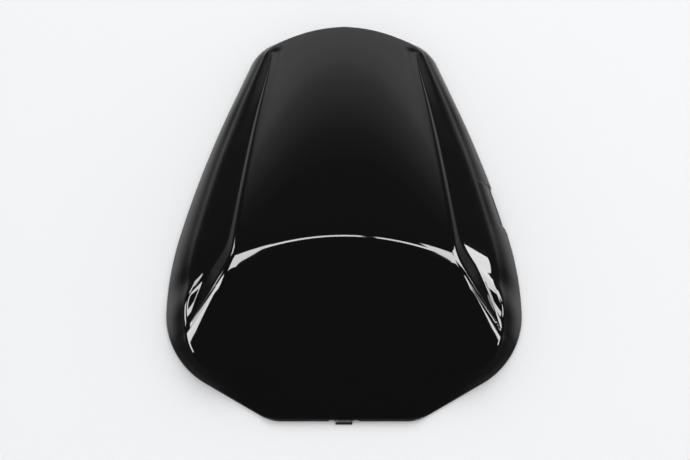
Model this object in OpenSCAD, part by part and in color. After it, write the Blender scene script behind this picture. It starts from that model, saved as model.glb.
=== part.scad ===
// Seat cowl for a sport motorbike: the hard cover that takes the place of the rear seat pad.
// One shared frame: millimetres, +X the bike's left side, +Y towards the tail, +Z up, standing on its lower edge.

/* [Overall size] */
// width across the lower edge at its widest
cowl_w = 288.6; // [260:0.1:320]
// length from the front lip to the tail
cowl_l = 355.6; // [330:0.2:380]
// height of the crest above the lower edge, on the middle line
crest_h = 72; // [64:0.5:84]
// height of the tail's top edge, on the middle line
tail_h = 30; // [25:0.5:36]
// wall thickness of the moulding
wall = 3; // [2:0.1:4]

/* [Lower edge, seen from above] */
// half length of the straight front lip
lip_half = 50; // [40:1:60]
// radius of the corner beside the front lip
lip_corner_r = 30; // [20:1:40]
// angle that the front corner is cut at
front_cut = 31; // [25:0.5:37]
// radius of the shoulder at the widest place
shoulder_r = 70; // [60:1:80]
// radius of the side behind the shoulder
side_r = 285; // [220:5:340]
// how far the side turns in behind the shoulder
side_turn = 13.9; // [11:0.5:16]
// radius of the long side towards the tail
rear_side_r = 1000; // [800:20:1400]
// how far that long side turns
rear_side_turn = 7.5; // [6:0.5:9]
// radius of the tail corner
tail_corner_r = 30; // [24:1:36]
// how far the tail corner turns
tail_corner_turn = 42; // [38:1:46]

/* [Front face and crest] */
// how far the front crease stands back from the lip
crease_back = 30.5; // [24:0.5:36]
// height of the front crease on the middle line
crease_h = 26; // [22:0.5:30]
// half length of the straight middle of the crease
crease_half = 92; // [84:1:98]
// tighter radius of the crease's corner
crease_r = 31; // [25:1:37]
// wider radius of the crease beyond its corner
crease_r2 = 43; // [36:1:50]
// height where the channel runs out to a point at the front
point_h = 28; // [24:0.5:32]
// distance from the front lip to the crest, on the middle line
crest_back = 128; // [116:0.5:140]
// half length of the crest
crest_half = 88.5; // [80:0.5:96]
// how much lower the crest is at its ends
crest_drop = 8; // [5:0.5:12]
// how far the ends of the crest sweep forward
crest_sweep = 15; // [10:0.5:20]
// front height of the upright lip
lip_h = 8; // [6:0.5:11]
// height of the upright edge elsewhere
edge_h = 4; // [2.5:0.5:6]

/* [Top panel and channel] */
// depth of the step down into the channel
step_h = 7; // [4:0.5:10]
// plan width of the sloping side of the step
step_w = 5; // [3.5:0.5:8]
// height of the shoulder edge beside the crest
shoulder_h = 35; // [31:0.5:40]
// plan width of the flank beside the crest
flank_w = 21.4; // [18:0.1:25]
// plan width of the flank at the tail
tail_wall_w = 8.2; // [6:0.1:11]
// size of the soft edge between flank and channel
flank_round = 9; // [5:0.5:12]
// size of the edge round the top panel
panel_round = 4.5; // [3:0.25:6]

/* [Tongue and lock notch] */
// half width of the locating tongue
tongue_half = 6.5; // [5:0.25:9]
// how far the tongue stands out in front of the lip
tongue_out = 2.5; // [1.5:0.25:5]
// thickness of the tongue
tongue_t = 3; // [2:0.25:4]
// radius of the relief notch each side of the tongue
relief_r = 3; // [2:0.25:4]
// height of the notch in the left lower edge
notch_h = 8; // [5:0.5:11]
// length of that notch
notch_l = 46; // [36:1:56]
// how far the notch starts behind the widest place
notch_back = 34; // [26:1:42]

/* [Latch and pads inside] */
// half distance across the bike between the screw bosses
boss_x = 26; // [20:1:34]
// distance along the bike between the screw bosses
boss_gap = 42; // [34:1:50]
// place of the middle of the bosses along the bike
boss_mid = 8; // [0:1:14]
// how far below the crest the bosses end
boss_drop = 24; // [22:0.5:28]
// radius of a screw boss
boss_r = 5; // [4.5:0.25:5.5]
// radius of the screw hole in a boss
pilot_r = 2.1; // [1.9:0.05:2.5]
// depth of that hole, and length of screw inside it
screw_l = 10; // [8:0.5:12]
// depth of the ribs under the top panel
rib_d = 8; // [5:0.5:12]
// thickness of those ribs
rib_t = 2; // [1.5:0.25:2.5]
// half distance between the two rubber pads
pad_x = 36; // [30:1:42]
// place of the pads along the bike
pad_y = 92; // [80:1:104]
// how far below the tail's top edge the posts end
pad_drop = 10; // [6:0.5:18]
// width of the post above a pad
post_w = 15; // [12:0.5:18]

// width of the latch strap
plate_w = 72; // [64:1:84]
// length of the latch strap
plate_l = 58; // [52:1:66]
// thickness of the latch strap
plate_t = 2; // [1.5:0.25:3]
// depth of its turned-down edges
flange_h = 8; // [5:0.5:12]
// radius of its screw holes
hole_r = 2.6; // [2.4:0.1:3]
// half distance between the striker's legs, and radius of its bend
loop_r = 11; // [8:0.5:14]
// radius of the striker's rod
rod_r = 3; // [2.5:0.25:4]
// how far below the strap the centre of the striker's bend lies
loop_drop = 22; // [18:0.5:26]
// thickness of the striker's collars
collar_t = 2.5; // [2:0.25:4]
// width across the flats of the striker's nuts
nut_w = 10; // [9:0.5:11]
// height of those nuts
nut_t = 5; // [4:0.5:6]
// radius of the strap's screw heads
head_r = 4; // [3.5:0.25:4.5]
// height of the strap's screw heads
head_t = 3; // [2.5:0.25:4]
// radial clearance of a rod or screw in its hole
fit = 0.05; // [0.03:0.01:0.15]
// radius of a rubber pad
pad_r = 9; // [7.5:0.5:11]
// thickness of a rubber pad
pad_t = 7; // [5:0.5:10]

/* [Hidden] */
boss_ys = [boss_mid - boss_gap / 2, boss_mid + boss_gap / 2];
boss_z = crest_h - boss_drop;
loop_z = boss_z - plate_t - loop_drop;
pad_z = tail_h - pad_drop;

hw = cowl_w / 2;
hl = cowl_l / 2;
deg = PI / 180;

// general helpers
function unit(v) = v / max(norm(v), 1e-9);
function mix(a, b, t) = a + (b - a) * t;
function clamp(x) = max(0, min(1, x));
function soft(x) = let(c = clamp(x)) c * c * (3 - 2 * c);
function bez(a, b, c, q) = (1 - q) * (1 - q) * a + 2 * q * (1 - q) * b + q * q * c;
function sum(v, n) = n <= 0 ? 0 : v[n - 1] + sum(v, n - 1);

// a smooth line through [place, value] pairs
function slope_at(k, i) =
  i <= 0 ? (k[1][1] - k[0][1]) / (k[1][0] - k[0][0])
  : i >= len(k) - 1 ? (k[i][1] - k[i - 1][1]) / (k[i][0] - k[i - 1][0])
  : (k[i + 1][1] - k[i - 1][1]) / (k[i + 1][0] - k[i - 1][0]);
function span_of(k, s, i = 0) = i >= len(k) - 2 || s < k[i + 1][0] ? i : span_of(k, s, i + 1);
function ease(k, s) = let(i = span_of(k, s), h = k[i + 1][0] - k[i][0], t = clamp((s - k[i][0]) / h))
  (2 * t * t * t - 3 * t * t + 1) * k[i][1] + (t * t * t - 2 * t * t + t) * h * slope_at(k, i)
  + (3 * t * t - 2 * t * t * t) * k[i + 1][1] + (t * t * t - t * t) * h * slope_at(k, i + 1);

// a path made of straights and arcs: each piece is [length, radius], radius 0 for a straight
function turned(p) = p[1] == 0 ? 0 : p[0] / p[1] / deg;
function go(st, l, r) = r == 0
  ? [st[0] + l * cos(st[2]), st[1] + l * sin(st[2]), st[2]]
  : let(h = st[2] + l / r / deg) [st[0] + r * (sin(h) - sin(st[2])), st[1] - r * (cos(h) - cos(st[2])), h];
function after(path, start, n) = n == 0 ? start : go(after(path, start, n - 1), path[n - 1][0], path[n - 1][1]);
function on_path(path, start, s, i = 0) =
  i >= len(path) - 1 || s <= path[i][0] ? go(start, s, path[i][1])
  : on_path(path, go(start, path[i][0], path[i][1]), s - path[i][0], i + 1);

// lower edge: half of it, from the middle of the front to the middle of the tail
cut_l = (hw - lip_half - lip_corner_r * sin(front_cut) - shoulder_r * (1 - sin(front_cut))) / cos(front_cut);
head = [[lip_half, 0], [lip_corner_r * front_cut * deg, lip_corner_r], [cut_l, 0],
  [shoulder_r * (90 - front_cut) * deg, shoulder_r], [side_r * side_turn * deg, side_r],
  [rear_side_r * rear_side_turn * deg, rear_side_r]];
start = [0, -hl, 0];
h6 = after(head, start, 6);
h8a = h6[2] + tail_corner_turn;
half_left = (180 - h8a) / 2;
corner_dx = tail_corner_r * (sin(h8a) - sin(h6[2]));
corner_dy = -tail_corner_r * (cos(h8a) - cos(h6[2]));
rear_l = (hl - h6[1] - corner_dy - (h6[0] + corner_dx) * tan(half_left))
  / (sin(h6[2]) + cos(h6[2]) * tan(half_left));
tail_end_x = h6[0] + rear_l * cos(h6[2]) + corner_dx;
tail_r = tail_end_x / sin(180 - h8a);
edge_path = concat(head, [[rear_l, 0], [tail_corner_r * tail_corner_turn * deg, tail_corner_r],
  [tail_r * (180 - h8a) * deg, tail_r]]);
edge_len = [for (p = edge_path) p[0]];
s_corner = sum(edge_len, 7);
s_end = sum(edge_len, 9);
// front crease, from the middle to the point, and the place on the lower edge square to the point
crease_path = [[crease_half, 0], [crease_r * 50 * deg, crease_r], [crease_r2 * 35 * deg, crease_r2]];
crease_l = crease_path[0][0] + crease_path[1][0] + crease_path[2][0];
crease_end = on_path(crease_path, [0, -hl + crease_back, 0], crease_l);
h3 = after(head, start, 3);
arc_mid = [h3[0] - shoulder_r * sin(front_cut), h3[1] + shoulder_r * cos(front_cut)];
s_point = sum(edge_len, 3)
  + shoulder_r * deg * (atan2(crease_end[0] - arc_mid[0], arc_mid[1] - crease_end[1]) - front_cut);
s_crest = sum(edge_len, 4) + 0.5 * edge_len[4];
s_tail = s_corner + 0.35 * edge_len[7];
function edge_at(s) = on_path(edge_path, start, s);

crease_keys = [[0, crease_h], [0.3, crease_h], [0.6, crease_h - 0.4], [0.75, crease_h - 0.4],
  [0.87, mix(crease_h, point_h, 0.3)], [1, point_h]];
function crease_at(f) = let(p = on_path(crease_path, [0, -hl + crease_back, 0], f * crease_l))
  [p[0], p[1], ease(crease_keys, f)];

// flank: its plan width and the height of its upper edge along the lower edge
p_end = crease_at(1);
e_point = edge_at(s_point);
point_w = norm([e_point[0] - p_end[0], e_point[1] - p_end[1]]);
flank_keys = [[s_point, point_w], [s_point + 20, mix(point_w, flank_w, 0.55)], [s_point + 45, flank_w - 0.8],
  [s_crest, flank_w], [s_crest + 35, flank_w], [s_crest + 75, flank_w - 1.4], [s_crest + 105, flank_w - 3],
  [s_crest + 145, flank_w - 4.6], [s_crest + 170, flank_w - 6], [s_corner, flank_w - 7.4],
  [s_tail, 13.4], [s_end - 60, 11.4], [s_end - 28, 9.4], [s_end, tail_wall_w]];
height_keys = [[s_point, point_h], [s_point + 12, point_h + 2.2], [s_point + 33, point_h + 7.5],
  [s_crest - 15, shoulder_h - 2], [s_crest, shoulder_h], [s_crest + 20, shoulder_h + 0.7],
  [s_crest + 40, shoulder_h], [s_crest + 75, shoulder_h - 1.6], [s_crest + 105, shoulder_h - 3.8],
  [s_crest + 145, shoulder_h - 6.8], [s_corner - 10, tail_h - 3.0], [s_tail, tail_h - 3.0],
  [s_end - 60, tail_h - 2.3], [s_end - 30, tail_h - 0.6], [s_end, tail_h]];
function shoulder_at(s) = let(e = edge_at(s), w = ease(flank_keys, s))
  [e[0] - w * sin(e[2]), e[1] + w * cos(e[2]), ease(height_keys, s)];

// places round the half edge: front, side, tail
front_s = concat([for (i = [0:4]) lip_half * i / 4], [lip_half + 5.4, lip_half + 10.8, lip_half + 16.2],
  [for (i = [1:7]) lip_half + 16.2 + (s_point - lip_half - 16.2) * i / 7]);
NC = len(front_s) - 1;
notch_s = s_crest + notch_back;
// rows along the bike: -1 at the point, 0 at the crest, 1 at the tail
du = 0.2;
dt = 0.055;
function row_of(s) = s < s_crest ? (s - s_point) / (s_crest - s_point) - 1 : (s - s_crest) / (s_tail - s_crest);
function s_of(v) = v < 0 ? mix(s_point, s_crest, v + 1) : mix(s_crest, s_tail, v);
rows = concat([-1, -0.86, -0.72, -0.57, -0.43, -0.31, -du], [-0.12, -0.045, 0.013, dt],
  [0.10], [for (r = [0, notch_h, notch_l / 2, notch_l - 0.3, notch_l + 0.3]) row_of(notch_s + r)],
  [0.48, 0.56, 0.64, 0.72, 0.80, 0.87, 0.93, 0.97, 1]);
NR = len(rows) - 1;
M = 2 * NC + NR;
NS = 2 * M;

function rounded(v, f) = v <= -du || v >= dt ? f(v) : bez(f(-du), f(0), f(dt), (v + du) / (du + dt));

// lines along the bike; the top patch starts this far inside the crease and the tail's edge
border = 11;
crest_y = -hl + crest_back;
tail_y = hl - tail_wall_w;
function toward_front(d) = unit([crest_half - 4, crest_y - crest_sweep, crest_h - crest_drop + 1] - d);
function tail_dir(x) = unit(mix([0, -1, 0.34], [-1, -0.1, 0.27], pow(x, 3)));
d_point = p_end;
d_tail = shoulder_at(s_tail);
a_point = d_point + 6 * toward_front(d_point);
a_tail = d_tail + 6 * tail_dir(1);
a_crest = [crest_half, crest_y - crest_sweep, crest_h - crest_drop + 0.5];
b_point = d_point + 4 * toward_front(d_point);
b_tail = d_tail + 4 * tail_dir(1);
b_crest = a_crest + [step_w - 0.5, 15, -step_h - 3];
function panel_edge(v) = v < 0 ? mix(a_point, a_crest, v + 1)
  : [mix(a_crest[0], a_tail[0], v) + sin(180 * v), mix(a_crest[1], a_tail[1], v),
     mix(a_crest[2], a_tail[2], pow(v, 1.6))];
b_fade = [[0, 1], [0.12, 0.95], [0.5, 0.9], [0.75, 0.62], [0.9, 0.35], [1, 0]];
function step_foot(v) = v < 0
  ? mix(b_point, b_crest, v + 1) + [3.5, 4.5, -3.5] * sin(180 * (v + 1))
  : let(a = panel_edge(v), k = ease(b_fade, v), q = pow(1 - clamp(v / 0.45), 2))
    mix(b_tail, a + [step_w * k - 0.5, 15 * q, -step_h * k - 3 * q], clamp((1 - v) * 7));
function edge_in(v) = let(a = panel_edge(v))
  v < 0 ? mix(d_point + border * toward_front(d_point), a_crest + [-4, 0, 1], v + 1)
  : a + mix([-4, 0, 1], (border - 6) * tail_dir(1), pow(v, 4));

// across the bike: fractions of the half width at the front and at the tail
front_in = [for (i = [0:NC]) let(d = crease_at(front_s[i] / s_point),
    x = d[0] / p_end[0],
    c = [(crest_half - 4) * x, crest_y - crest_sweep * x * x, crest_h - (crest_drop - 1) * pow(x, 2.2)])
  d + border * unit(c - d)];
fx = [for (i = [0:NC]) front_in[i][0] / front_in[NC][0]];
tail_s = [for (i = [0:NC]) s_end - (s_end - s_tail) * front_s[i] / s_point];
tail_d = [for (i = [0:NC]) shoulder_at(tail_s[i])];
tail_in = [for (i = [0:NC]) tail_d[i] + border * tail_dir(tail_d[i][0] / tail_d[NC][0])];
tx = [for (i = [0:NC]) tail_in[i][0] / tail_in[NC][0]];

function panel_raw(i, v) = let(e = edge_in(v), X = mix(fx[i], tx[i], v),
    yc = mix(crest_y, tail_in[0][1], v), zc = mix(crest_h, tail_in[0][2], pow(v, 1.7)))
  [e[0] * X, yc + (e[1] - yc) * X * X, zc + (e[2] - zc) * pow(X, 2.2)];
tail_fix = [for (i = [0:NC]) tail_in[i] - panel_raw(i, 1)];
function skin(i, v) = v < 0 ? mix(front_in[i], panel_raw(i, 0), v + 1) : panel_raw(i, v) + pow(v, 3) * tail_fix[i];
patch = [for (v = rows) [for (i = [0:NC]) rounded(v, function(q) skin(i, q))]];

// one rung of the band, from the top panel's border down to the lower edge
function cornered(a, b, c, l, before, beyond) = let(p = b + min(l, before * norm(a - b)) * unit(a - b),
  q = b + min(l, beyond * norm(c - b)) * unit(c - b)) [p, b, q];
function out_of(e, d) = [e[0] + d * sin(e[2]), e[1] - d * cos(e[2])];
function rung(pin, pa, pb, pd, s, round_d, notch) =
  let(e = edge_at(s),
    lift = notch ? notch_h * clamp((s - notch_s) / notch_h) * (s < notch_s + notch_l ? 1 : 0) : 0,
    lip = mix(lip_h, edge_h, soft((s - lip_half - 6) / 12)),
    f0 = [e[0], e[1], lip],
    up = (pd - f0) / max(1, pd[2] - f0[2]),
    f = lift > lip - 0.6 ? f0 + up * (lift + 0.6 - lip) : f0,
    a = cornered(pin, pa, pb, panel_round, 0.6, 0.68),
    b = cornered(pa, pb, pd, 3, 0.26, 0.22),
    d = cornered(pb, pd, f, round_d, 0.72, 0.45),
    m = mix(d[2], f, 0.5) + 0.9 * [sin(e[2]), -cos(e[2]), 0.35],
    base = lift > lip - 0.6 ? f0 + up * (lift - lip) : [e[0], e[1], lift])
  [pin, bez(a[0], a[1], a[2], 0.5), a[2], b[0], bez(b[0], b[1], b[2], 0.5), b[2],
   d[0], bez(d[0], d[1], d[2], 0.33), bez(d[0], d[1], d[2], 0.67), d[2], m, f, base];
K = 13;

function front_rung(i, n) = let(d = crease_at(front_s[i] / s_point), p = front_in[i], u = unit(p - d))
  rung(p, d + 6 * u, d + 4 * u, d, front_s[i], mix(6, 3, pow(i / NC, 4)), n);
function side_rung(j, n) = let(v = rows[j], s = s_of(v),
    pa = rounded(v, function(q) panel_edge(q)), pb = rounded(v, function(q) step_foot(q)))
  rung(patch[j][NC], pa, pb, shoulder_at(s), s, mix(3, flank_round, soft((v + 1) / 1.3)) * mix(1, 0.6, soft(v * 3 - 2)), n);
function tail_rung(i, n) = let(d = tail_d[i], u = tail_dir(d[0] / tail_d[NC][0]))
  rung(tail_in[i], d + 6 * u, d + 4 * u, d, tail_s[i], 5, n);
function half_rung(q, n) = q <= NC ? front_rung(q, n) : q < NC + NR ? side_rung(q - NC, n) : tail_rung(M - q, n);
function flip(p) = [-p[0], p[1], p[2]];

left_half = [for (q = [0:M]) half_rung(q, true)];
right_half = [for (q = [0:M]) [for (p = half_rung(q, false)) flip(p)]];
ring = [for (q = [0:NS - 1]) q <= M ? left_half[q] : right_half[NS - q]];
function patch_at(j, i) = i < 0 ? flip(patch[j][-i]) : patch[j][i];

// outward directions from the neighbours, for the inner face
function inward_of(q) = q <= NC ? patch_at(1, min(q, NC - 1)) : q < NC + NR ? patch_at(q - NC, NC - 1)
  : q <= M + NC ? patch_at(NR - 1, max(-NC + 1, min(NC - 1, M - q)))
  : q < NS - NC ? patch_at(NS - NC - q, -NC + 1) : patch_at(1, max(q - NS, -NC + 1));
function ring_n(q, k) = let(ds = ring[(q + 1) % NS][k] - ring[(q + NS - 1) % NS][k], c = ring[q][k],
    dr = unit((k == K - 1 ? c : ring[q][k + 1]) - c) + unit(c - (k == 0 ? inward_of(q) : ring[q][k - 1])))
  unit(cross(dr, ds));
function flat(v) = unit([v[0], v[1], 0]);
function edge_n(q) = let(s = q <= M ? q : NS - q,
    e = edge_at(s <= NC ? front_s[s] : s < NC + NR ? s_of(rows[s - NC]) : tail_s[M - s]))
  [(q <= M ? 1 : -1) * sin(e[2]), -cos(e[2]), 0];
function ring_in(q, k) = k < 11 ? ring[q][k] - wall * ring_n(q, k) : ring[q][k] - wall * edge_n(q);
inner_ring = [for (q = [0:NS - 1]) [for (k = [0:K - 1]) ring_in(q, k)]];
function patch_n(j, i) = unit(cross(patch_at(j, i + 1) - patch_at(j, i - 1), patch_at(j + 1, i) - patch_at(j - 1, i)));
inner_patch = [for (j = [1:NR - 1]) [for (i = [-NC + 1:NC - 1]) patch_at(j, i) - wall * patch_n(j, i)]];

W = 2 * NC - 1;
skin_pts = concat([for (r = ring) each r], [for (j = [1:NR - 1]) for (i = [-NC + 1:NC - 1]) patch_at(j, i)]);
under_pts = concat([for (r = inner_ring) each r], [for (r = inner_patch) each r]);
NV = len(skin_pts);
function rid(q, k) = ((q + NS) % NS) * K + k;
function pid(j, i) = j == 0 ? rid(i, 0) : j == NR ? rid(M - i, 0) : i == NC ? rid(NC + j, 0)
  : i == -NC ? rid(NS - NC - j, 0) : NS * K + (j - 1) * W + i + NC - 1;
function two(a, b, c, d, cut) = cut ? [[a, b, c], [a, c, d]] : [[a, b, d], [b, c, d]];
top_faces = concat(
  [for (j = [0:NR - 1]) for (i = [-NC:NC - 1]) each two(pid(j, i), pid(j + 1, i), pid(j + 1, i + 1), pid(j, i + 1), i < 0)],
  [for (q = [0:NS - 1]) for (k = [0:K - 2]) each two(rid(q, k), rid(q + 1, k), rid(q + 1, k + 1), rid(q, k + 1), q < M)]);
low_faces = [for (f = top_faces) [f[0] + NV, f[2] + NV, f[1] + NV]];
rim_faces = [for (q = [0:NS - 1]) each two(rid(q, K - 1), rid(q + 1, K - 1), rid(q + 1, K - 1) + NV, rid(q, K - 1) + NV, q < M)];

module skin_solid() polyhedron(concat(skin_pts, under_pts), concat(top_faces, low_faces, rim_faces), convexity = 8);

// height of the top panel over a place, for what is moulded under it
function panel_seek(x, y, v, X, n) = let(e = edge_in(v), yc = mix(crest_y, tail_in[0][1], v),
    zc = mix(crest_h, tail_in[0][2], pow(v, 1.7)))
  n == 0 ? zc + (e[2] - zc) * pow(X, 2.2)
  : panel_seek(x, y, max(0, v + (y - yc - (e[1] - yc) * X * X) / (tail_y - crest_y)), min(1, abs(x) / e[0]), n - 1);
function panel_z(x, y) = panel_seek(x, y, max(0, (y - crest_y) / (tail_y - crest_y)), abs(x) / 80, 8);

// a straight-sided block whose top follows the inside of the top panel
module under_block(xs, ys, depth, bottom = -1) {
  top = [for (y = ys) for (x = xs) [x, y, panel_z(x, y) - 0.55 * wall]];
  low = [for (p = top) [p[0], p[1], bottom > 0 ? bottom : p[2] - depth]];
  a = len(xs); b = len(ys); n = a * b;
  function at(i, j) = j * a + i;
  polyhedron(concat(top, low), concat(
    [for (j = [0:b - 2]) for (i = [0:a - 2]) each two(at(i, j), at(i, j + 1), at(i + 1, j + 1), at(i + 1, j), i < a / 2 - 0.6)],
    [for (j = [0:b - 2]) for (i = [0:a - 2]) each [for (f = two(at(i, j), at(i, j + 1), at(i + 1, j + 1), at(i + 1, j), i < a / 2 - 0.6))
      [f[0] + n, f[2] + n, f[1] + n]]],
    [for (i = [0:a - 2]) [at(i, 0), at(i + 1, 0), at(i + 1, 0) + n, at(i, 0) + n]],
    [for (i = [0:a - 2]) [at(i, b - 1) + n, at(i + 1, b - 1) + n, at(i + 1, b - 1), at(i, b - 1)]],
    [for (j = [0:b - 2]) [at(0, j) + n, at(0, j + 1) + n, at(0, j + 1), at(0, j)]],
    [for (j = [0:b - 2]) [at(a - 1, j), at(a - 1, j + 1), at(a - 1, j + 1) + n, at(a - 1, j) + n]]), convexity = 2);
}

module bosses() for (x = [-boss_x, boss_x]) for (y = boss_ys)
  difference() {
    translate([x, y, boss_z]) cylinder(r = boss_r, h = panel_z(x, y) - 0.5 * wall - boss_z, $fn = 48);
    translate([x, y, boss_z - 1]) cylinder(r = pilot_r, h = screw_l + 1, $fn = 32);
  }

module tongue_plate() translate([-tongue_half, -hl - tongue_out, 0]) cube([2 * tongue_half, tongue_out + wall + 9, tongue_t]);
module reliefs() for (x = [-1, 1]) translate([x * (tongue_half + relief_r), -hl - 1, 0])
  rotate([-90, 0, 0]) cylinder(r = relief_r, h = wall + 2, $fn = 32);

module cowl_shell() color("#16171a") translate([0, tongue_out / 2, 0]) union() {
  difference() { skin_solid(); reliefs(); }
  tongue_plate();
  bosses();
  for (y = boss_ys) under_block([-64, -48, -32, -16, 0, 16, 32, 48, 64], [y - rib_t / 2, y + rib_t / 2], rib_d);
  for (x = [-pad_x, pad_x]) under_block([x - post_w / 2, x + post_w / 2], [pad_y - post_w / 2, pad_y + post_w / 2], 0, pad_z);
}

// pressed steel strap screwed to the four bosses, with two turned-down edges
module latch_bracket() color("#7d8083") translate([0, tongue_out / 2 + boss_mid, boss_z - plate_t]) difference() {
  union() {
    translate([-plate_w / 2, -plate_l / 2, 0]) cube([plate_w, plate_l, plate_t]);
    for (x = [-plate_w / 2, plate_w / 2 - plate_t])
      translate([x, -plate_l / 2 + 8, -flange_h]) cube([plate_t, plate_l - 16, flange_h + plate_t]);
  }
  for (x = [-boss_x, boss_x]) for (y = [-boss_gap / 2, boss_gap / 2])
    translate([x, y, -1]) cylinder(r = hole_r, h = plate_t + 2, $fn = 48);
  for (x = [-loop_r, loop_r]) translate([x, 0, -1]) cylinder(r = rod_r + fit, h = plate_t + 2, $fn = 48);
}

// bent rod that the seat lock takes hold of, with a collar under the strap on each leg
module latch_striker() color("#a3a6a8") translate([0, tongue_out / 2 + boss_mid, 0]) union() {
  for (x = [-loop_r, loop_r]) translate([x, 0, loop_z]) {
    cylinder(r = rod_r, h = boss_z + nut_t + 2 - loop_z, $fn = 48);
    translate([0, 0, boss_z - plate_t - collar_t - loop_z]) cylinder(r = rod_r + 2.5, h = collar_t, $fn = 48);
  }
  translate([0, 0, loop_z]) rotate([90, 0, 0]) rotate([0, 0, 180]) rotate_extrude(angle = 180, $fn = 64)
    translate([loop_r, 0]) circle(r = rod_r, $fn = 48);
}

// the two nuts above the strap
module striker_nuts() color("#8d9092") for (x = [-loop_r, loop_r])
  translate([x, tongue_out / 2 + boss_mid, boss_z]) difference() {
    cylinder(r = nut_w / sqrt(3), h = nut_t, $fn = 6);
    translate([0, 0, -1]) cylinder(r = rod_r + fit, h = nut_t + 2, $fn = 48);
  }

// four flanged screws that hold the strap to the bosses
module bracket_screws() color("#606366") for (x = [-boss_x, boss_x]) for (y = boss_ys)
  translate([x, y + tongue_out / 2, boss_z - plate_t]) difference() {
    union() {
      cylinder(r = pilot_r - fit, h = plate_t + screw_l - 0.5, $fn = 48);
      translate([0, 0, -1]) cylinder(r = head_r + 1, h = 1, $fn = 48);
      translate([0, 0, -head_t]) cylinder(r = head_r, h = head_t, $fn = 48);
    }
    translate([0, 0, -head_t - 0.1]) cylinder(r = 2.3, h = 1.9, $fn = 6);
  }

// rubber pads under the two posts at the rear
module rear_pad(x) color("#1b1b1b") translate([x, pad_y + tongue_out / 2, pad_z - pad_t])
  rotate_extrude($fn = 64) polygon([[0, 0], [pad_r - 1.5, 0], [pad_r, 1.5], [pad_r, pad_t], [0, pad_t]]);
module pad_left() rear_pad(pad_x);
module pad_right() rear_pad(-pad_x);

cowl_shell();
latch_bracket();
latch_striker();
striker_nuts();
bracket_screws();
pad_left();
pad_right();
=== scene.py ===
"""Dressed model of a motorbike's seat cowl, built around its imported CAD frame.

The shell is one moulding. Its outer skin is worked out as whole numpy arrays from the same
sizes as the solid: a four-sided patch (front face, crest and top panel) inside a closed band
(panel edge, step, channel, shoulder edge, flank and upright lip) that runs round the outline.
"""

import logging
import math
from dataclasses import dataclass, field
from enum import Enum
from typing import Callable

import bpy
import numpy as np
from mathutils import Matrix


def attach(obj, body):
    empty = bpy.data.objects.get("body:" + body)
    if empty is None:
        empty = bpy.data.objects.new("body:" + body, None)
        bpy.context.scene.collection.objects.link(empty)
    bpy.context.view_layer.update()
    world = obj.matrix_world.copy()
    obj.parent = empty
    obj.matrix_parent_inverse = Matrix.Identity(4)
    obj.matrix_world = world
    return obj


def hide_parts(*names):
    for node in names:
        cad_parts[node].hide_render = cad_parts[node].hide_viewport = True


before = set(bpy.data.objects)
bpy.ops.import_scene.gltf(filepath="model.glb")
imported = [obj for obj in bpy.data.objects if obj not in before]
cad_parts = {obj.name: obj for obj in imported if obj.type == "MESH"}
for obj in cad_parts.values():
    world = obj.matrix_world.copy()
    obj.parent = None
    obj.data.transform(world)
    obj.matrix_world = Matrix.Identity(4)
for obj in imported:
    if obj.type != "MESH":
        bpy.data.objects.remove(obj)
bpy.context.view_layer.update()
MM = 0.001
log = logging.getLogger("seat_cowl")

Array = np.ndarray
Point = tuple[float, float, float]

# Powers in the top panel's formulas: the bow of a row across, the fall of the middle, of the edge.
ROW_BOW = 2.2
MIDDLE_FALL = 1.7
EDGE_FALL = 1.6


def unit(v: Array) -> Array:
    """Each vector divided by its own length."""
    return v / np.maximum(np.linalg.norm(v, axis=-1, keepdims=True), 1e-9)


def soft(x: Array) -> Array:
    """A smooth step from 0 to 1: 3c^2 - 2c^3 of x held between 0 and 1."""
    c = np.clip(x, 0.0, 1.0)
    return c * c * (3.0 - 2.0 * c)


def mix(a: Array, b: Array, t: Array) -> Array:
    """a at t = 0 and b at t = 1, along a straight line."""
    return a + (b - a) * t


def bend(a: Array, b: Array, c: Array, q: Array) -> Array:
    """Quadratic Bezier: (1-q)^2 a + 2q(1-q) b + q^2 c."""
    return (1 - q) ** 2 * a + 2 * q * (1 - q) * b + q * q * c


def ease(keys: list[tuple[float, float]], s: Array) -> Array:
    """A smooth line through pairs of place and value.

    Cubic Hermite pieces whose slope at a pair is that of the line through its two neighbours.

    Args:
        keys: the pairs, in order of place.
        s: the places to read.

    Returns:
        The value at each place.
    """
    k = np.array([p[0] for p in keys], float)
    v = np.array([p[1] for p in keys], float)
    slope = np.empty_like(v)
    slope[1:-1] = (v[2:] - v[:-2]) / (k[2:] - k[:-2])
    slope[0] = (v[1] - v[0]) / (k[1] - k[0])
    slope[-1] = (v[-1] - v[-2]) / (k[-1] - k[-2])
    i = np.clip(np.searchsorted(k, s, side="right") - 1, 0, len(k) - 2)
    h = k[i + 1] - k[i]
    t = np.clip((s - k[i]) / h, 0.0, 1.0)
    return (
        (2 * t**3 - 3 * t**2 + 1) * v[i]
        + (t**3 - 2 * t**2 + t) * h * slope[i]
        + (3 * t**2 - 2 * t**3) * v[i + 1]
        + (t**3 - t**2) * h * slope[i + 1]
    )


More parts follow.
